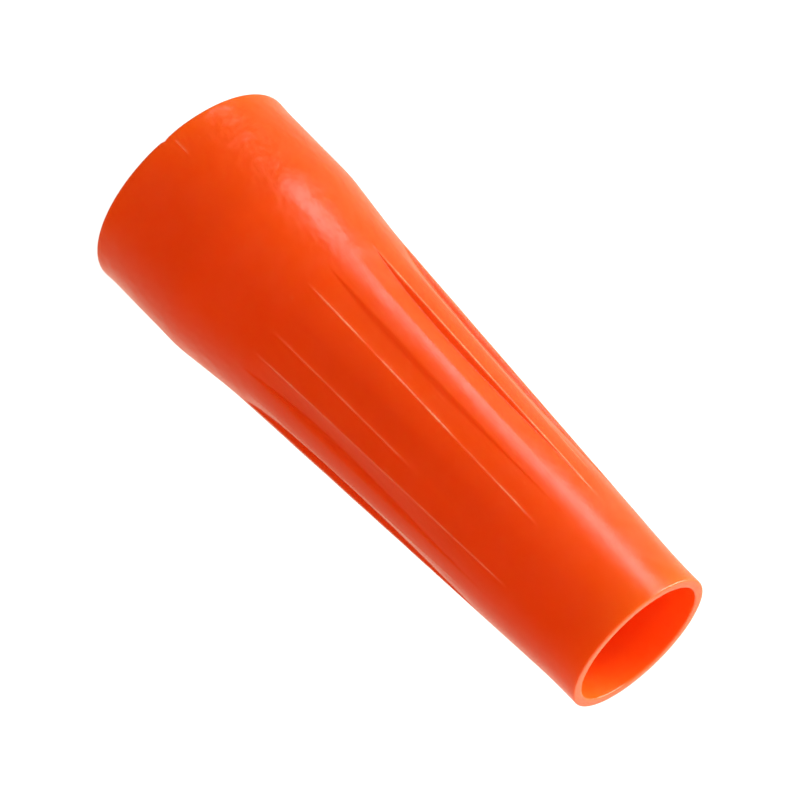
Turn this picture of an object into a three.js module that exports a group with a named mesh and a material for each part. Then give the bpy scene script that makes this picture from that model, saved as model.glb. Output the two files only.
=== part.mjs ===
// A twist-on wire connector, standing on its open mouth: a moulded shell, and the
// conical square-wire spring that is pressed into it and grips the bared wires.
// Millimetres, +Z up. The origin is the centre of the mouth rim, and +Z is the axis,
// towards the tip.

import * as THREE from 'three'

// ---------------------------------------------------------------- driving dimensions

const overallLength = 28.0
const mouthRadius = 5.07 // outside of the skirt, just above the rim's bead
const mouthBead = 0.035 // how far the rim stands proud of the skirt
const beadHeight = 0.15
const beadFade = 0.5 // height in which the bead runs out into the skirt
const skirtWall = 0.6
const skirtDraft = 0.02 // how much the skirt narrows up to its top, outside
const boreDraft = 0.06 // and inside
const skirtHeight = 4.75 // the skirt is a plain cylinder up to here
const shoulderHeight = 7.9 // the shoulder cone ends here and the long taper starts
const shoulderRadius = 4.66
const taperHeight = 26.6 // the taper runs out into the plain tip
const tipRadius = 3.43
const tipWall = 0.43
const rimEdge = 0.06 // rounding along both edges of both rims

const cupFloorHeight = 22.3 // floor of the blind cup that is open at the tip
const cupDraft = 0.03
const webThickness = 1.0 // wall between the cup and the spring chamber
const chamberMouthHeight = 9.7
const chamberMouthRadius = 3.75
const chamberEndRadius = 2.45
const retainerRadius = 3.5 // bead that keeps the spring from falling out
const retainerWidth = 0.4
const retainerGap = 0.15 // between the bead and the spring chamber
const funnelHeight = 7.6 // the bore narrows from here to the retainer
const funnelStep = 0.35 // how much narrower than the mouth the bore is there

const fluteCount = 12
const fluteStart = 8.9
const fluteEnd = 23.5
const fluteWidth = 1.1
const frontFluteDepth = 0.04 // on the mould's opening line
const sideFluteDepth = 0.29 // farthest from that line
const fluteRise = 1 // powers of the depth's rise from the lower end,
const fluteFall = 2 // and of its fall to the upper one
const wallAngle = THREE.MathUtils.degToRad(53) // slope of the straight wall, at the sides
const wallAnglePower = 0.6 // how fast that slope falls off towards the opening line
const frontHollowPower = 6 // the hollow side's curve, from nearly flat-floored
const sideHollowPower = 1 // to a straight slope
const footRange = [0.12, 0.45] // how far across the flute the wall's foot may be
const fluteRows = 11 // spaces between rings of vertices, along a flute
const segmentsPerFlute = 7 // around the shell, for one flute and one land
const segmentsInFlute = 4 // of those, the ones that the flute takes up

const wireSide = 0.75 // square spring wire, wound on edge
const springClearance = 0.1 // between the wire's outer edge and the chamber wall
const springPitch = 1.2
const springMouthGap = 0.05 // from the wire's lowest edge to the chamber's mouth
const springEndGap = 0.2 // and from its highest edge to the chamber's end
const springStepsPerTurn = 20

const cornerChord = 0.35 // how finely a rounded corner of the shell's outline is drawn
const rounding = {
  chamberEnd: 0.3,
  retainerTop: 0.05,
  retainerFoot: 0.1,
  funnel: 0.4,
  boreTop: 0.3,
  bead: 0.06,
  beadFoot: 0.2,
  skirtTop: 0.4,
  shoulder: 0.6,
  taperEnd: 0.8,
  cupFloor: 0.5,
}

// ------------------------------------------------------------------------ materials

const shellPlastic = new THREE.MeshStandardMaterial({
  color: 0xee4a16,
  roughness: 0.42,
  metalness: 0,
})

const springSteel = new THREE.MeshStandardMaterial({
  color: 0xb4b6b8,
  roughness: 0.32,
  metalness: 1,
})

// ------------------------------------------------------------------- shell's outline

const mouthBore = mouthRadius - skirtWall
const chamberEndHeight = cupFloorHeight - webThickness
const taperSlope = (shoulderRadius - tipRadius) / (taperHeight - shoulderHeight)

const taperRadius = (z) => shoulderRadius - taperSlope * (z - shoulderHeight)

// Radius of the spring chamber's conical wall at height z.
function chamberRadius(z) {
  const along = (z - chamberMouthHeight) / (chamberEndHeight - chamberMouthHeight)
  return THREE.MathUtils.lerp(chamberMouthRadius, chamberEndRadius, along)
}

// Corners of half the shell's section, as [radius, height, corner rounding], from the
// web's inner face on the axis, round the mouth and the tip, to the cup's floor.
function sectionCorners() {
  const retainerTop = chamberMouthHeight - retainerGap
  const retainerFoot = retainerTop - retainerWidth
  const tipBore = tipRadius - tipWall
  const beadRadius = mouthRadius + mouthBead
  const outside = Array.from({ length: fluteRows + 1 }, (_, row) => {
    const z = THREE.MathUtils.lerp(fluteStart, fluteEnd, row / fluteRows)
    return [taperRadius(z), z, 0]
  })
  return [
    [0, chamberEndHeight, 0],
    [chamberEndRadius, chamberEndHeight, rounding.chamberEnd],
    [chamberMouthRadius, chamberMouthHeight, 0],
    [retainerRadius, retainerTop, rounding.retainerTop],
    [retainerRadius, retainerFoot, rounding.retainerFoot],
    [mouthBore - funnelStep, funnelHeight, rounding.funnel],
    [mouthBore - boreDraft, skirtHeight, rounding.boreTop],
    [mouthBore, 0, rimEdge],
    [beadRadius, 0, rimEdge],
    [beadRadius, beadHeight, rounding.bead],
    [mouthRadius, beadHeight + beadFade, rounding.beadFoot],
    [mouthRadius - skirtDraft, skirtHeight, rounding.skirtTop],
    [shoulderRadius, shoulderHeight, rounding.shoulder],
    ...outside,
    [tipRadius, taperHeight, rounding.taperEnd],
    [tipRadius, overallLength, rimEdge],
    [tipBore, overallLength, rimEdge],
    [tipBore - cupDraft, cupFloorHeight, rounding.cupFloor],
    [0, cupFloorHeight, 0],
  ]
}

// The outline's points, with each rounded corner as a few chords of its curve. The
// rounding is how far along both sides the curve starts, on a shallow corner as well.
function outline(corners) {
  const at = ([r, z]) => new THREE.Vector2(r, z)
  return corners.flatMap((corner, i) => {
    const reach = corner[2]
    if (reach === 0) return [at(corner)]
    const middle = at(corner)
    const back = at(corners[i - 1]).sub(middle).setLength(reach)
    const ahead = at(corners[i + 1]).sub(middle).setLength(reach)
    const curve = new THREE.QuadraticBezierCurve(back.add(middle), middle, ahead.add(middle))
    return curve.getPoints(Math.ceil(reach / cornerChord))
  })
}

// ------------------------------------------------------------------------ the pieces

// A flute's depth at height z. Flutes are deeper the farther they are from the mould's
// opening line, Y: aside is 0 on that line and 1 at the sides.
function fluteDepth(z, aside) {
  const along = THREE.MathUtils.clamp((z - fluteStart) / (fluteEnd - fluteStart), 0, 1)
  const shape = (t) => t ** fluteRise * (1 - t) ** fluteFall
  const deepest = THREE.MathUtils.lerp(frontFluteDepth, sideFluteDepth, aside)
  return (deepest * shape(along)) / shape(fluteRise / (fluteRise + fluteFall))
}

// Where a ring's segment stands at height z: its angle, and how far it is sunk. A flute's
// side away from the opening line is a straight wall, and its other side a hollow curve.
function flutePoint(segment, z) {
  const { lerp, clamp } = THREE.MathUtils
  const place = segment % segmentsPerFlute
  const pitch = (2 * Math.PI) / fluteCount
  const middle = pitch * (Math.floor(segment / segmentsPerFlute) + 0.5)
  const halfAngle = fluteWidth / 2 / taperRadius(z)
  if (place > segmentsInFlute) {
    const along = (place - segmentsInFlute) / (segmentsPerFlute - segmentsInFlute)
    return [middle + lerp(halfAngle, pitch - halfAngle, along), 0]
  }
  const aside = Math.abs(Math.sin(middle))
  const depth = fluteDepth(z, aside)
  const slope = Math.tan(wallAngle * aside ** wallAnglePower)
  const foot = clamp(depth / slope / fluteWidth, ...footRange)
  const wallIsLast = Math.sin(2 * middle) > 0
  const step = wallIsLast ? segmentsInFlute - place : place
  const across = step === 0 ? 0 : lerp(foot, 1, (step - 1) / (segmentsInFlute - 1))
  const wall = across * fluteWidth * slope
  const hollow = depth * (1 - across ** lerp(frontHollowPower, sideHollowPower, aside))
  const towardsWall = halfAngle * (1 - 2 * across)
  return [middle + (wallIsLast ? towardsWall : -towardsWall), Math.min(wall, hollow)]
}

// Presses the flutes into the outside of a lathed shell. Heights are along the lathe's
// own axis, Y.
function pressFlutes(geometry) {
  const position = geometry.attributes.position
  const segments = fluteCount * segmentsPerFlute
  const pointsInRow = position.count / (segments + 1)
  const skin = 0.01 // the shell's outside is found to within this
  for (let i = 0; i < position.count; i++) {
    const height = position.getY(i)
    const radius = Math.hypot(position.getX(i), position.getZ(i))
    const [angle, sink] = flutePoint(Math.floor(i / pointsInRow) % segments, height)
    const pressed = radius > taperRadius(height) - skin ? radius - sink : radius
    position.setXYZ(i, pressed * Math.sin(angle), height, pressed * Math.cos(angle))
  }
}

function makeShell() {
  const segments = fluteCount * segmentsPerFlute
  const geometry = new THREE.LatheGeometry(outline(sectionCorners()), segments)
  pressFlutes(geometry)
  geometry.rotateX(Math.PI / 2)
  const shell = new THREE.Mesh(geometry, shellPlastic)
  shell.name = 'shell'
  return shell
}

// The spring is a straight square bar, turned on edge and wound on the chamber's cone.
// The thread is right-handed, so that the connector tightens clockwise.
function makeSpring() {
  const reach = wireSide / Math.SQRT2 // from the wire's centre to its edge
  const firstHeight = chamberMouthHeight + reach + springMouthGap
  const lastHeight = chamberEndHeight - reach - springEndGap
  const turns = (lastHeight - firstHeight) / springPitch
  const steps = Math.round(turns * springStepsPerTurn)
  const geometry = new THREE.BoxGeometry(1, wireSide, wireSide, steps, 1, 1)
  geometry.rotateX(Math.PI / 4)
  const position = geometry.attributes.position
  for (let i = 0; i < position.count; i++) {
    const along = position.getX(i) + 0.5
    const angle = 2 * Math.PI * turns * along
    const height = THREE.MathUtils.lerp(firstHeight, lastHeight, along)
    const radius = chamberRadius(height) - springClearance - reach - position.getY(i)
    const z = height + position.getZ(i)
    position.setXYZ(i, radius * Math.cos(angle), radius * Math.sin(angle), z)
  }
  const spring = new THREE.Mesh(geometry, springSteel)
  spring.name = 'spring'
  return spring
}

const connector = new THREE.Group()
connector.name = 'twist_wire_connector'
connector.add(makeShell(), makeSpring())

export default connector
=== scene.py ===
"""A twist-on wire connector, standing on its open mouth on a pale studio floor.

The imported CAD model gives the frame: +Z is the connector's axis, from the mouth to the tip.
The shell and the spring are made again here as fine meshes, and get procedural plastic and
steel.
"""

import math
from collections import namedtuple

import bpy
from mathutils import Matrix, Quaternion, Vector, noise


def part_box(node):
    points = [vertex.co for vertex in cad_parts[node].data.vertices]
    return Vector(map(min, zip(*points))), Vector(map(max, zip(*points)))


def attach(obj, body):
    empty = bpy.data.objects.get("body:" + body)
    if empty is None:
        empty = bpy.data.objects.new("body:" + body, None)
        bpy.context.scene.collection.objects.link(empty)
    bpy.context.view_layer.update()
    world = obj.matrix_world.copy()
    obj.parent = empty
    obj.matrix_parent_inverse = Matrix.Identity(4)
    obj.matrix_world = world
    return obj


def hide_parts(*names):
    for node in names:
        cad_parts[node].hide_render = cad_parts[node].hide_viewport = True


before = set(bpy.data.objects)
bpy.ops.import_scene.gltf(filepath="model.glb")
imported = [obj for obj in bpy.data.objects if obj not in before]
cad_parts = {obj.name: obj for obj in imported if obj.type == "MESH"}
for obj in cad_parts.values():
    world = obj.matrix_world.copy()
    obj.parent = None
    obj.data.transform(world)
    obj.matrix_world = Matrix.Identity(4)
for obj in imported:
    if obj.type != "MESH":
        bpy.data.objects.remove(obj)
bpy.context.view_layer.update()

# ---------------------------------------------------------------- sizes, in millimetres

LENGTH = 28.0
MOUTH_RADIUS = 5.07
MOUTH_BORE = 4.47
MOUTH_BEAD = 0.035  # how far the mouth's rim stands proud of the skirt
BEAD_HEIGHT = 0.15
BEAD_FADE = 0.5  # height in which the bead runs out into the skirt
SKIRT_TOP = 4.75  # the plain skirt ends and the shoulder starts
SKIRT_DRAFT = 0.02  # how much the skirt narrows up to its top, outside
BORE_DRAFT = 0.06  # and inside
SHOULDER_TOP = 7.9
SHOULDER_RADIUS = 4.66
TAPER_TOP = 26.6  # the long taper ends and the plain tip starts
TIP_RADIUS = 3.43
TIP_BORE = 3.0
RIM_EDGE = 0.06  # rounding of the rims' edges

CUP_FLOOR = 22.3
CUP_DRAFT = 0.03
CHAMBER_TOP = 21.3
CHAMBER_TOP_RADIUS = 2.45
CHAMBER_MOUTH = 9.7
CHAMBER_MOUTH_RADIUS = 3.75
RETAINER_RADIUS = 3.5  # bead that keeps the spring from falling out
RETAINER_GAP = 0.15  # between that bead and the spring chamber
RETAINER_WIDTH = 0.4
FUNNEL_FOOT = 7.6  # the bore narrows from here to the retainer
FUNNEL_STEP = 0.35  # how much narrower than the mouth the bore is there

ROUNDING = {
    "chamber_top": 0.3,
    "chamber_mouth": 0.05,
    "retainer_top": 0.05,
    "retainer_foot": 0.12,
    "funnel": 0.6,
    "bore_top": 0.5,
    "bead": 0.06,
    "bead_foot": 0.2,
    "skirt_top": 0.45,
    "shoulder": 0.7,
    "taper_top": 0.9,
    "cup_floor": 0.5,
}
CORNER_CHORD = 0.06  # how finely a corner's curve is drawn
SMALL_ROUNDING, SMALL_ROUNDING_STEPS = 0.2, 5  # a rounding up to this size has this many chords
MOST_ROUNDING_STEPS = 12
ROW_STEP = 0.22  # longest step between rings of vertices

FLUTES = 12
FLUTE_BOTTOM, FLUTE_TOP = 8.9, 23.5
FLUTE_WIDTH = 1.1
FLUTE_EDGE = 0.045  # how far its two edges are rounded off
FLUTE_FOOT = 0.03  # rounding at the foot of its straight wall
ROUNDING_SHARE = 0.3  # neither is more than this share of the flute's depth
FRONT_FLUTE_DEPTH = 0.04  # on the mould's opening line
SIDE_FLUTE_DEPTH = 0.29  # farthest from that line
FLUTE_RISE, FLUTE_FALL = 1, 2  # powers of the depth's rise from the lower end, and of its fall
WALL_ANGLE = math.radians(53)  # slope of the straight wall, at the sides
WALL_ANGLE_POWER = 0.6  # how fast that slope falls off towards the opening line
FRONT_HOLLOW_POWER, SIDE_HOLLOW_POWER = 6, 1  # of the hollow side's curve, from flat to straight

# The columns of vertices across a flute, as places from its wall's edge, 0, to its hollow
# side's, 1. They are in seven stretches: the land, the wall's edge, the wall, the wall's
# foot, the hollow side, that side's edge, and the land beyond.
COLUMN_STEPS = (4, 11, 2, 5, 8, 10, 4)
WALL_EDGE_REACH = 0.08
FOOT_REACH = 0.035
NEAREST_FOOT = 0.12
FOOT_SEARCH_STEPS = 12
HOLLOW_EDGE = (0.94, 1.07)

LIP_HEIGHT, LIP_WIDTH = 0.012, 0.038  # the thin burr along a flute's edges
# How strong each flute's burr is along its wall's edge and along its hollow side's, and how
# far along the flute it lasts, as a share of the flute's length.
# A burr is a raised lip and a pale colour, and that colour partly paints the highlight lines
# along the flute edges.
BURRS = (
    (0.6, 0.0, 0.6),
    (0.1, 0.8, 1.0),
    (0.2, 1.0, 0.9),
    (0.4, 0.7, 0.8),
    (0.2, 0.9, 1.0),
    (0.6, 0.2, 0.5),
    (0.2, 0.8, 0.9),
    (0.7, 0.3, 0.7),
    (0.3, 0.8, 1.0),
    (0.3, 0.6, 0.9),
    (1.0, 0.1, 1.0),
    (0.0, 0.85, 0.95),
)
BURR_FADE = 1 / 12  # share of the flute's length in which a burr starts, and in which it ends
BURR_MEAN, BURR_SPREAD = 0.7, 1.2  # burrs are uneven, and missing here and there
BURR_PATCHES = 0.7  # in a millimetre
BURR_SEED = 7.7  # sets each flute's own pattern
SCUFFED_FLUTE, SCUFF_HEIGHT, SCUFF_LENGTH = 1, 10.6, 1.0  # a scuff where one flute starts
SCUFF_GAIN = 1.5

# Marks left by moulding and handling. Angles are from -Y towards -X, in degrees.
NICK_ANGLE, NICK_WIDTH, NICK_DEPTH = 6.5, 0.1, 0.06  # a tick out of the mouth's rim
SCAR_ANGLE, SCAR_WIDTH, SCAR_DEPTH = 8, 0.45, 0.03  # a shallow dip, where the gate was trimmed
SCAR_HEIGHT = 0.3  # both have run out by here
STREAK_ANGLE, STREAK_WIDTH = 10, 0.035  # a pale drag mark above the dip
STREAK_BOTTOM, STREAK_TOP = 0.35, 1.1
WAVINESS = 0.006  # how uneven the moulded surface is
WAVES_AROUND, WAVES_ALONG = 4, 0.7  # how many waves to a radian and to a millimetre
OUTER_SKIN = 0.01  # the grip's surface is found to within this
MOUTH_SKIN = 0.1  # and the mouth's

# What the plastic's material is told about each vertex.
BURR_WEAR_AND_HIGHLIGHT, STREAK_WEAR = 0.8, 1.2  # how pale a burr and the drag mark are; a burr's paleness partly paints a highlight line
PAINTED_GLOW_REACH = 1.0  # how far from a rim the painted glow reaches; it stands in for light coming through the wall
MOUTH_PAINTED_GLOW = 0.5  # strength of the painted glow at the mouth, beside 1 at the tip, where the wall is thinner
GRIP_PEEL = 0.3  # how uneven the grip's surface is, beside 1 on the skirt and the shoulder
PEEL_FADE = 2.0  # height above the shoulder in which it would fade out altogether

WIRE_SIDE = 0.75
WIRE_EDGE = 0.09  # rounding of the wire's edges
WIRE_EDGE_STEPS = 3
WIRE_CLEARANCE = 0.1
WIRE_PITCH = 1.2
WIRE_STEPS = 96  # round one turn
SPRING_MOUTH_GAP = 0.05  # from the wire's lowest edge to the chamber's mouth
SPRING_TOP_GAP = 0.2  # and from its highest edge to the chamber's top

LOW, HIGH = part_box("shell")
MM = (HIGH.z - LOW.z) / LENGTH  # a millimetre in the frame's metres


def lerp(a, b, t):
    return a + (b - a) * t


def bump(distance, width):
    """1 at no distance, falling smoothly to nearly 0 at twice the width."""
    return math.exp(-((distance / width) ** 2))


def taper_radius(z):
    return lerp(SHOULDER_RADIUS, TIP_RADIUS, (z - SHOULDER_TOP) / (TAPER_TOP - SHOULDER_TOP))


# ---------------------------------------------------------------------- shell's outline


def rounded(corners):
    """Points of an outline given as (radius, height, rounding) corners.

    Each rounded corner is a few chords of a curve. The rounding is how far along both sides
    the curve starts.
    """
    points = []
    for i, (r, z, rounding) in enumerate(corners):
        middle = Vector((r, z))
        if not rounding:
            points.append(middle)
            continue
        back = middle + (Vector(corners[i - 1][:2]) - middle).normalized() * rounding
        ahead = middle + (Vector(corners[i + 1][:2]) - middle).normalized() * rounding
        steps = min(math.ceil(2 * rounding / CORNER_CHORD), MOST_ROUNDING_STEPS)
        if rounding <= SMALL_ROUNDING:
            steps = SMALL_ROUNDING_STEPS
        for step in range(steps + 1):
            t = step / steps
            points.append(back.lerp(middle, t).lerp(middle.lerp(ahead, t), t))
    return points


def shell_outline():
    """Half of the shell's section, round both rims.

    It runs from the web's inner face, on the axis, to the cup's floor.
    """
    retainer_top = CHAMBER_MOUTH - RETAINER_GAP
    retainer_foot = retainer_top - RETAINER_WIDTH
    bead_radius = MOUTH_RADIUS + MOUTH_BEAD
    corners = [
        (0, CHAMBER_TOP, 0),
        (CHAMBER_TOP_RADIUS, CHAMBER_TOP, ROUNDING["chamber_top"]),
        (CHAMBER_MOUTH_RADIUS, CHAMBER_MOUTH, ROUNDING["chamber_mouth"]),
        (RETAINER_RADIUS, retainer_top, ROUNDING["retainer_top"]),
        (RETAINER_RADIUS, retainer_foot, ROUNDING["retainer_foot"]),
        (MOUTH_BORE - FUNNEL_STEP, FUNNEL_FOOT, ROUNDING["funnel"]),
        (MOUTH_BORE - BORE_DRAFT, SKIRT_TOP, ROUNDING["bore_top"]),
        (MOUTH_BORE, 0, RIM_EDGE),
        (bead_radius, 0, RIM_EDGE),
        (bead_radius, BEAD_HEIGHT, ROUNDING["bead"]),
        (MOUTH_RADIUS, BEAD_HEIGHT + BEAD_FADE, ROUNDING["bead_foot"]),
        (MOUTH_RADIUS - SKIRT_DRAFT, SKIRT_TOP, ROUNDING["skirt_top"]),
        (SHOULDER_RADIUS, SHOULDER_TOP, ROUNDING["shoulder"]),
        (TIP_RADIUS, TAPER_TOP, ROUNDING["taper_top"]),
        (TIP_RADIUS, LENGTH, RIM_EDGE),
        (TIP_BORE, LENGTH, RIM_EDGE),
        (TIP_BORE - CUP_DRAFT, CUP_FLOOR, ROUNDING["cup_floor"]),
        (0, CUP_FLOOR, 0),
    ]
    points = [Vector((0, CHAMBER_TOP))]
    for point in rounded(corners)[1:]:
        steps = math.ceil((point - points[-1]).length / ROW_STEP)
        points += [points[-1].lerp(point, step / steps) for step in range(1, steps + 1)]
    return points


# ------------------------------------------------------------------------------- flutes

# A flute at one height: the share of its pitch that it takes up, its depth, its wall's
# slope, the power of its hollow side's curve, which side its wall is on, and how much burr
# there is at its wall's edge and at its hollow side's.
Flute = namedtuple("Flute", "share depth slope power side burrs")


def rise_and_fall(along):
    return along**FLUTE_RISE * (1 - along) ** FLUTE_FALL


def flute_at(z, number):
    """One flute at height z.

    The mould opens along Y. A flute's side away from that line is a straight wall, and its
    other side is a hollow curve. The farther a flute is from the line, the deeper it is, the
    steeper its wall is, and the straighter its hollow side is.
    """
    middle = 2 * math.pi * (number + 0.5) / FLUTES
    aside = abs(math.sin(middle))
    along = min(1, max(0, (z - FLUTE_BOTTOM) / (FLUTE_TOP - FLUTE_BOTTOM)))
    sunk = rise_and_fall(along) / rise_and_fall(FLUTE_RISE / (FLUTE_RISE + FLUTE_FALL))
    return Flute(
        share=FLUTE_WIDTH * FLUTES / (2 * math.pi * taper_radius(z)),
        depth=lerp(FRONT_FLUTE_DEPTH, SIDE_FLUTE_DEPTH, aside) * sunk,
        slope=math.tan(WALL_ANGLE * aside**WALL_ANGLE_POWER),
        power=lerp(FRONT_HOLLOW_POWER, SIDE_HOLLOW_POWER, aside),
        side=math.copysign(1, math.sin(2 * middle)),
        burrs=burrs_at(z, along, number),
    )


def burrs_at(z, along, number):
    """How much burr a flute has here, at its wall's edge and at its hollow side's."""
    at_wall, at_hollow, reach = BURRS[number]
    presence = max(0, min(1, along / BURR_FADE, (reach - along) / BURR_FADE))
    pattern = noise.noise(Vector((BURR_SEED * (number + 1), 0.5, BURR_PATCHES * z)))
    uneven = max(0, BURR_MEAN + BURR_SPREAD * pattern)
    scuff = SCUFF_GAIN * bump(z - SCUFF_HEIGHT, SCUFF_LENGTH) if number == SCUFFED_FLUTE else 0
    amount = presence * uneven * (1 + scuff)
    return amount * at_wall, amount * at_hollow


def burr_here(flute, across):
    """How much burr there is, this far across a flute."""
    at_wall, at_hollow = flute.burrs
    wall_lip = at_wall * bump(across * FLUTE_WIDTH, LIP_WIDTH)
    hollow_lip = at_hollow * bump((across - 1) * FLUTE_WIDTH, LIP_WIDTH)
    return wall_lip + hollow_lip


def flute_foot(flute):
    """How far across a flute its wall meets its hollow side."""
    low, high = 0, 1
    for _ in range(FOOT_SEARCH_STEPS):
        across = (low + high) / 2
        if across * FLUTE_WIDTH * flute.slope < flute.depth * (1 - across**flute.power):
            low = across
        else:
            high = across
    return low


def flute_sink(flute, across):
    """How far the grip is sunk, this far across a flute."""
    if flute.depth == 0:
        return 0.0
    wall = across * FLUTE_WIDTH * flute.slope
    hollow = flute.depth * (1 - max(0, across) ** flute.power)
    foot = min(FLUTE_FOOT, ROUNDING_SHARE * flute.depth)
    edge = min(FLUTE_EDGE, ROUNDING_SHARE * flute.depth)
    sink = min(wall, hollow) - max(0, foot - abs(wall - hollow)) ** 2 / (4 * foot)
    return (sink + math.hypot(sink, edge)) / 2 - LIP_HEIGHT * burr_here(flute, across)


def columns_at(z):
    """Where the columns of vertices stand at height z, as (turn, flute, place across it).

    A flute's columns reach half over the land on each side. They are closest at its two
    edges and along its wall's foot.
    """
    columns = []
    for number in range(FLUTES):
        flute = flute_at(z, number)
        land = (1 / flute.share - 1) / 2
        foot = max(NEAREST_FOOT, flute_foot(flute))
        wall_edge = (-WALL_EDGE_REACH, WALL_EDGE_REACH)
        starts = (-land, *wall_edge, foot - FOOT_REACH, foot + FOOT_REACH, *HOLLOW_EDGE)
        ends = (*starts[1:], 1 + land)
        spots = [
            lerp(start, end, step / steps)
            for start, end, steps in zip(starts, ends, COLUMN_STEPS)
            for step in range(steps)
        ]
        spots.append(1 + land)
        width = flute.side * flute.share
        cell = sorted((number + 0.5 + width * (0.5 - spot), spot) for spot in spots)
        columns += [(place / FLUTES, flute, spot) for place, spot in cell[:-1]]
    return columns


# ------------------------------------------------------------------------------- meshes


def mesh_object(name, vertices, faces):
    mesh = bpy.data.meshes.new(name)
    mesh.from_pydata([v * MM for v in vertices], [], faces)
    mesh.polygons.foreach_set("use_smooth", [True] * len(faces))
    mesh.update()
    obj = bpy.data.objects.new(name, mesh)
    bpy.context.scene.collection.objects.link(obj)
    return obj


def arc_from(turn, angle):
    """The distance round the mouth from the angle to the turn."""
    return ((-turn - angle / 360 + 0.5) % 1 - 0.5) * 2 * math.pi * MOUTH_RADIUS


def shell_point(radius, z, turn, flute, across):
    """A point of the outline, turned to its column and given its flute and its marks.

    It comes with what the material is told: how worn the point is, partly a painted highlight,
    how much painted glow stands in for light through the wall there, and how uneven the surface
    is.
    """
    worn_and_highlight = 0.0
    if radius > taper_radius(z) - OUTER_SKIN:
        radius -= flute_sink(flute, across)
        # pale burr colour, partly a painted highlight along the flute's edges
        worn_and_highlight = BURR_WEAR_AND_HIGHLIGHT * burr_here(flute, across)
    if z < SCAR_HEIGHT and radius > MOUTH_BORE - MOUTH_SKIN:
        scar = SCAR_DEPTH * bump(arc_from(turn, SCAR_ANGLE), SCAR_WIDTH)
        nick = NICK_DEPTH * bump(arc_from(turn, NICK_ANGLE), NICK_WIDTH)
        z += (scar + nick) * (1 - z / SCAR_HEIGHT)
    if radius > MOUTH_RADIUS - MOUTH_SKIN and STREAK_BOTTOM < z < STREAK_TOP:
        worn_and_highlight += STREAK_WEAR * bump(arc_from(turn, STREAK_ANGLE), STREAK_WIDTH)
    # A painted glow near both rims: paler colour that stands in for light shining through the
    # thin wall.
    painted_glow = math.exp((z - LENGTH) / PAINTED_GLOW_REACH) + MOUTH_PAINTED_GLOW * math.exp(-z / PAINTED_GLOW_REACH)
    # The outside and the tip's rim get the painted glow, and the bore and the chamber don't.
    painted_glow_mask = painted_glow if radius > taper_radius(z) - TIP_RADIUS + TIP_BORE else 0.0
    peel = min(1.0, max(GRIP_PEEL, 1 - (z - SHOULDER_TOP) / PEEL_FADE))
    angle = 2 * math.pi * turn
    around = Vector((math.sin(angle), -math.cos(angle), 0))
    wave = WAVINESS * noise.noise(around * WAVES_AROUND + Vector((0, 0, z * WAVES_ALONG)))
    return around * (radius + wave) + Vector((0, 0, z)), worn_and_highlight, painted_glow_mask, peel


def make_shell():
    """The moulded shell, lathed from its outline, with its flutes and its moulding marks."""
    outline = shell_outline()
    points = [(Vector((0, 0, outline[0].y)), 0.0, 0.0, 0.0)]
    for radius, z in outline[1:-1]:
        columns = columns_at(z)
        points += [shell_point(radius, z, *column) for column in columns]
    points.append((Vector((0, 0, outline[-1].y)), 0.0, 0.0, 0.0))
    vertices, wear_and_highlight, painted_glow_mask, peel = zip(*points)

    count = len(columns)
    rings = len(outline) - 2
    top = 1 + (rings - 1) * count
    last = len(vertices) - 1
    faces = []
    for column in range(count):
        beside = (column + 1) % count
        faces.append((0, 1 + beside, 1 + column))
        for ring in range(rings - 1):
            here = 1 + ring * count
            above = here + count
            faces.append((here + column, here + beside, above + beside, above + column))
        faces.append((top + column, top + beside, last))

    obj = mesh_object("shell_fine", vertices, faces)
    for name, values in (("wear_and_highlight", wear_and_highlight), ("painted_glow_mask", painted_glow_mask), ("peel", peel)):
        obj.data.attributes.new(name, "FLOAT", "POINT").data.foreach_set("value", values)
    return obj


def wire_section():
    """The spring wire's section, as (inwards, up) offsets: a square on edge, edges rounded."""
    points = []
    flat = WIRE_SIDE / 2 - WIRE_EDGE
    for quarter in range(4):
        for step in range(WIRE_EDGE_STEPS + 1):
            angle = math.pi / 2 * (quarter + step / WIRE_EDGE_STEPS)
            x = flat * (1 if quarter in (0, 3) else -1) + WIRE_EDGE * math.cos(angle)
            y = flat * (1 if quarter in (0, 1) else -1) + WIRE_EDGE * math.sin(angle)
            points.append(((x - y) / math.sqrt(2), (x + y) / math.sqrt(2)))
    return points


def make_spring():
    """The square wire, wound right-handed on the chamber's cone."""
    section = wire_section()
    reach = WIRE_SIDE / math.sqrt(2)  # from the wire's centre to its edge
    first = CHAMBER_MOUTH + reach + SPRING_MOUTH_GAP
    last = CHAMBER_TOP - reach - SPRING_TOP_GAP
    turns = (last - first) / WIRE_PITCH
    steps = round(turns * WIRE_STEPS)
    vertices = []
    for step in range(steps + 1):
        height = lerp(first, last, step / steps)
        along = (height - CHAMBER_MOUTH) / (CHAMBER_TOP - CHAMBER_MOUTH)
        wall = lerp(CHAMBER_MOUTH_RADIUS, CHAMBER_TOP_RADIUS, along)
        angle = 2 * math.pi * turns * step / steps
        for inwards, up in section:
            radius = wall - WIRE_CLEARANCE - reach - inwards
            place = (radius * math.cos(angle), radius * math.sin(angle), height + up)
            vertices.append(Vector(place))
    count = len(section)
    faces = [tuple(range(count))[::-1], tuple(range(steps * count, (steps + 1) * count))]
    for step in range(steps):
        for side in range(count):
            a = step * count + side
            b = step * count + (side + 1) % count
            faces.append((a, b, b + count, a + count))
    obj = mesh_object("spring_fine", vertices, faces)
    obj.data.polygons[0].use_smooth = False
    obj.data.polygons[1].use_smooth = False
    return obj


# ---------------------------------------------------------------------------- materials

NOISE_RANGE = (0.25, 0.75)  # where nearly all of a noise's values lie


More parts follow.
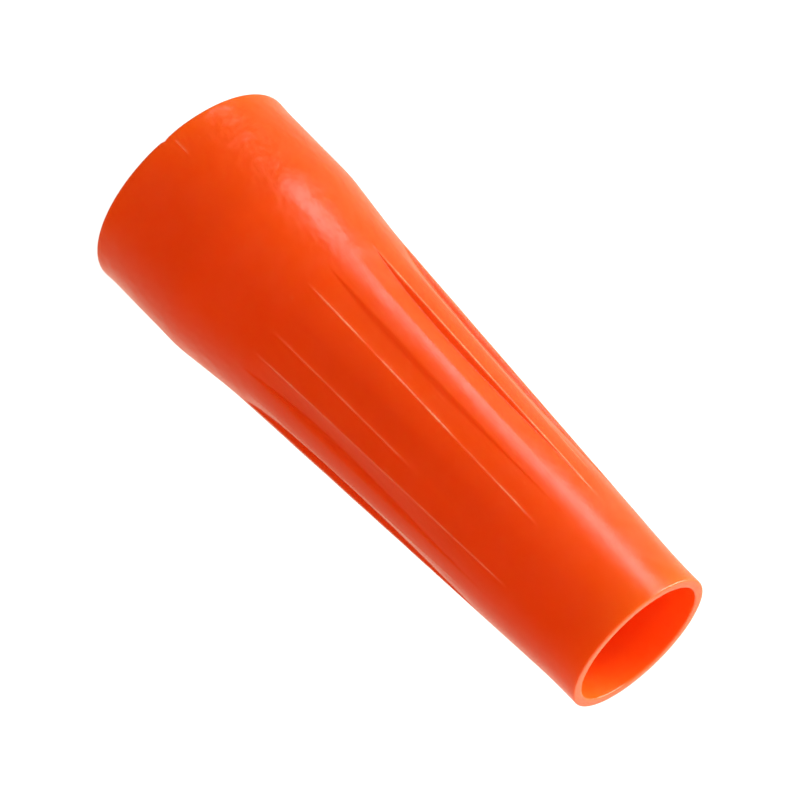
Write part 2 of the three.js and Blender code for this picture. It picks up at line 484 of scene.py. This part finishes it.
class Wiring:
    """Short ways to add nodes to the tree of a material or a world."""

    def __init__(self, tree):
        self.nodes = tree.nodes
        self.links = tree.links

    def plug(self, node, inputs):
        """Links each input to another node's output, or gives it a plain value."""
        for name, value in inputs.items():
            if isinstance(value, bpy.types.NodeSocket):
                self.links.new(value, node.inputs[name])
            else:
                node.inputs[name].default_value = value

    def add(self, kind, inputs):
        node = self.nodes.new(kind)
        self.plug(node, inputs)
        return node

    def remap(self, value, low, high, to_low=0.0, to_high=1.0):
        """Brings a value from one range to another, and keeps it in that range."""
        ends = {"From Min": low, "From Max": high, "To Min": to_low, "To Max": to_high}
        return self.add("ShaderNodeMapRange", {"Value": value, **ends}).outputs["Result"]

    def maths(self, operation, first, second):
        node = self.add("ShaderNodeMath", {0: first, 1: second})
        node.operation = operation
        return node.outputs[0]

    def blend(self, amount, under, over):
        """Mixes two colours. The node's colour sockets go by number, as they share names."""
        node = self.nodes.new("ShaderNodeMix")
        node.data_type = "RGBA"
        self.plug(node, {0: amount, 6: under, 7: over})
        return node.outputs[2]

    def noise(self, size, detail):
        """Noise on the object, with features of this size in millimetres."""
        place = self.nodes.new("ShaderNodeTexCoord").outputs["Object"]
        look = {"Vector": place, "Scale": 1 / (size * MM), "Detail": detail}
        return self.add("ShaderNodeTexNoise", look).outputs["Fac"]

    def grain(self, size, detail, low=0.0, high=1.0):
        """The same noise, brought from low to high."""
        return self.remap(self.noise(size, detail), *NOISE_RANGE, low, high)

    def stored(self, name):
        """What the mesh says about its vertices under this name."""
        attribute = self.nodes.new("ShaderNodeAttribute")
        attribute.attribute_name = name
        return attribute.outputs["Fac"]


# The plastic's colours.
DEEP_ORANGE = (0.89, 0.0535, 0.0015, 1)
PALE_ORANGE = (0.93, 0.0595, 0.0025, 1)
SPECK = (1.0, 0.2, 0.08, 1)
# Painted glow near the rims, in place of light shining through the thin wall.
PAINTED_GLOW_COLOUR = (1.0, 0.11, 0.003, 1)
# Pale wear on the burrs and the drag mark; on the burrs it partly paints highlight lines.
WORN_AND_HIGHLIGHT = (1.0, 0.27, 0.14, 1)
SHEEN = (1, 0.25, 0.06, 1)

SPECK_PEAKS = (0.95, 1.15)  # specks come in above the first, and so stay faint
SPECK_STRENGTH = 0.5
# how strong the painted glow near the rims is
PAINTED_GLOW_STRENGTH = 0.6
WORN_ROUGHNESS = 0.1  # added where the plastic is worn
PEEL_DEPTH = 0.013  # of the plastic's uneven surface, in millimetres
LIGHT_REACH = 1.8  # how far light goes into the plastic, in millimetres

STEEL = (0.55, 0.56, 0.57, 1)
STEEL_GRAIN = 0.4  # in millimetres


def new_material(name):
    material = bpy.data.materials.new(name)
    material.use_nodes = True
    return material, Wiring(material.node_tree), material.node_tree.nodes["Principled BSDF"]


def shell_plastic():
    """Orange thermoplastic: waxy, slightly translucent and satin.

    It has faint clouds, pale specks, an uneven moulded surface, pale worn burrs that partly
    paint highlights, and a painted glow near the rims.
    """
    material, wiring, shader = new_material("shell_plastic")

    patchy = wiring.grain(size=0.3, detail=2, low=0.4, high=1.0)
    # pale wear, which along the flute burrs partly paints highlight lines
    worn_and_highlight = wiring.maths("MULTIPLY", wiring.stored("wear_and_highlight"), patchy)
    peaks = wiring.remap(wiring.grain(size=0.25, detail=1), *SPECK_PEAKS)
    specks = wiring.maths("MULTIPLY", peaks, SPECK_STRENGTH)
    # The painted glow near the rims, standing in for light through the thin wall.
    painted_glow = wiring.maths("MULTIPLY", wiring.stored("painted_glow_mask"), PAINTED_GLOW_STRENGTH)

    colour = wiring.blend(wiring.grain(size=2.5, detail=3), DEEP_ORANGE, PALE_ORANGE)
    colour = wiring.blend(specks, colour, SPECK)
    colour = wiring.blend(painted_glow, colour, PAINTED_GLOW_COLOUR)
    colour = wiring.blend(worn_and_highlight, colour, WORN_AND_HIGHLIGHT)

    satin = wiring.grain(size=0.9, detail=4, low=0.23, high=0.35)
    roughness = wiring.maths("ADD", satin, wiring.maths("MULTIPLY", worn_and_highlight, WORN_ROUGHNESS))

    uneven = wiring.maths("MULTIPLY", wiring.stored("peel"), wiring.grain(size=0.5, detail=1))
    surface = {"Strength": 1, "Distance": PEEL_DEPTH * MM, "Height": uneven}
    peel = wiring.add("ShaderNodeBump", surface)

    finish = {
        "Base Color": colour,
        "Roughness": roughness,
        "Normal": peel.outputs["Normal"],
        "IOR": 1.5,
        "Subsurface Weight": 0.4,
        "Subsurface Radius": (1.0, 0.35, 0.12),
        "Subsurface Scale": LIGHT_REACH * MM,
        "Sheen Weight": 0.15,
        "Sheen Roughness": 0.5,
        "Sheen Tint": SHEEN,
    }
    wiring.plug(shader, finish)
    return material


def spring_steel():
    """Zinc-plated drawn wire, unevenly bright."""
    material, wiring, shader = new_material("spring_steel")
    drawn = wiring.noise(STEEL_GRAIN, detail=2)
    roughness = wiring.remap(drawn, low=0.0, high=1.0, to_low=0.22, to_high=0.42)
    wiring.plug(shader, {"Base Color": STEEL, "Metallic": 1, "Roughness": roughness})
    return material


# -------------------------------------------------------------------- studio and camera

# The camera's place and framing. It looks down on the connector from beyond the tip's
# height, rolled so that the tip points to the lower right.
AIM_HEIGHT = 0.4798 * LENGTH
CAMERA_BACK = 5.8937 * LENGTH
CAMERA_HEIGHT = 2.8843 * LENGTH
CAMERA_ROLL = math.radians(135.61)
CAMERA_LENS = 196.7
CAMERA_SENSOR = 36
CAMERA_NEAR = 0.001  # in metres

# Soft boxes, aimed at the middle of the connector: name, azimuth and elevation in degrees,
# distance and size in metres, power in watts, and colour. Azimuth 0 is the camera's side,
# and 90 is -X.
LIGHTS = (
    ("key", 71.5, 3, 0.3, (0.1, 0.242), 0.49, (0.42, 0.92, 0.97)),
    ("top", 97, 18, 0.2, (0.16, 0.1), 0.74, (0.42, 1.0, 0.92)),
)

# The light from all round, by the height of its direction: (height, beyond the connector,
# in front of it). Low down in front it is dark, as a camera's side is, and the ring above
# the horizon is the brightest.
SURROUND = (
    (-0.8, 0.8, 0.8),
    (-0.6, 0.44, 0.02),
    (0.1, 0.44, 0.02),
    (0.35, 0.65, 2.0),
    (0.65, 0.65, 2.0),
    (0.95, 0.25, 0.1),
)
BEYOND, IN_FRONT = 0.5, -0.2  # the directions' Y between which one gives way to the other
BRIGHTEST = 2.0
WARMTH = (1.1, 0.93, 0.75)
BACKDROP = 1.2  # straight behind the connector
BACKDROP_EDGE = 0.55  # the directions' Y from which it comes in
SEEN_WHITE = (0.6, 0.6, 0.6, 1)  # what the camera sees

FLOOR_SIZE = 4  # in metres
FLOOR_GREY = (0.35, 0.35, 0.35, 1)
FLOOR_GLOW = 0.85
WHITE = (1, 1, 1, 1)


def make_camera():
    camera = bpy.data.objects.new("camera", bpy.data.cameras.new("camera"))
    bpy.context.scene.collection.objects.link(camera)
    camera.data.lens = CAMERA_LENS
    camera.data.sensor_width = CAMERA_SENSOR
    camera.data.clip_start = CAMERA_NEAR
    camera.location = Vector((0, -CAMERA_BACK, CAMERA_HEIGHT)) * MM
    look = Vector((0, 0, AIM_HEIGHT)) * MM - camera.location
    roll = Quaternion((0, 0, 1), CAMERA_ROLL)
    camera.rotation_mode = "QUATERNION"
    camera.rotation_quaternion = look.to_track_quat("-Z", "Y") @ roll
    bpy.context.scene.camera = camera


def soft_light(name, azimuth, elevation, distance, size, power, colour):
    light = bpy.data.lights.new(name, "AREA")
    light.shape = "RECTANGLE"
    light.size, light.size_y = size
    light.energy = power
    light.color = colour
    box = bpy.data.objects.new(name, light)
    bpy.context.scene.collection.objects.link(box)
    a, e = math.radians(azimuth), math.radians(elevation)
    towards = Vector((-math.sin(a) * math.cos(e), -math.cos(a) * math.cos(e), math.sin(e)))
    box.location = Vector((0, 0, 0.5 * LENGTH * MM)) + towards * distance
    box.rotation_mode = "QUATERNION"
    box.rotation_quaternion = towards.to_track_quat("Z", "Y")


def warm(brightness):
    return (*[brightness / BRIGHTEST * part for part in WARMTH], 1)


def make_world():
    """Soft light from all round. The camera itself sees plain white."""
    world = bpy.data.worlds.new("studio")
    bpy.context.scene.world = world
    world.use_nodes = True
    wiring = Wiring(world.node_tree)
    direction = wiring.nodes.new("ShaderNodeTexCoord").outputs["Generated"]
    axes = wiring.add("ShaderNodeSeparateXYZ", {"Vector": direction}).outputs
    height = wiring.remap(axes["Z"], -1, 1)

    def by_height(column):
        """The light by its direction's height, from one column of the table."""
        ramp = wiring.add("ShaderNodeValToRGB", {"Fac": height})
        elements = ramp.color_ramp.elements
        while len(elements) < len(SURROUND):
            elements.new(0.5)
        for element, stop in zip(elements, SURROUND):
            element.position = (stop[0] + 1) / 2
            element.color = warm(stop[column])
        return ramp.outputs["Color"]

    towards_camera = wiring.remap(axes["Y"], BEYOND, IN_FRONT)
    around = wiring.blend(towards_camera, by_height(1), by_height(2))
    behind = wiring.remap(axes["Y"], BACKDROP_EDGE, 1)
    backed = wiring.blend(behind, around, warm(BACKDROP))
    seen = wiring.nodes.new("ShaderNodeLightPath").outputs["Is Camera Ray"]
    light = {"Color": wiring.blend(seen, backed, SEEN_WHITE), "Strength": BRIGHTEST}
    wiring.plug(wiring.nodes["Background"], light)


def make_floor():
    """A white floor that casts nothing on the connector and takes no shadow from it."""
    bpy.ops.mesh.primitive_plane_add(size=FLOOR_SIZE)
    floor = bpy.context.object
    floor.name = "floor"
    material, wiring, shader = new_material("floor_white")
    finish = {
        "Base Color": FLOOR_GREY,
        "Specular IOR Level": 0.0,
        "Emission Color": WHITE,
        "Emission Strength": FLOOR_GLOW,
    }
    wiring.plug(shader, finish)
    material.cycles.emission_sampling = "NONE"
    floor.data.materials.append(material)
    floor.visible_glossy = False
    floor.visible_diffuse = False
    floor.visible_shadow = False


# ----------------------------------------------------------------------------- assembly

bpy.context.scene.view_settings.view_transform = "Standard"
bpy.context.scene.cycles.denoising_input_passes = "RGB"

shell = make_shell()
shell.data.materials.append(shell_plastic())
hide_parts("shell")
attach(shell, "root")

spring = make_spring()
spring.data.materials.append(spring_steel())
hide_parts("spring")
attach(spring, "root")

make_floor()
for box in LIGHTS:
    soft_light(*box)
make_world()
make_camera()
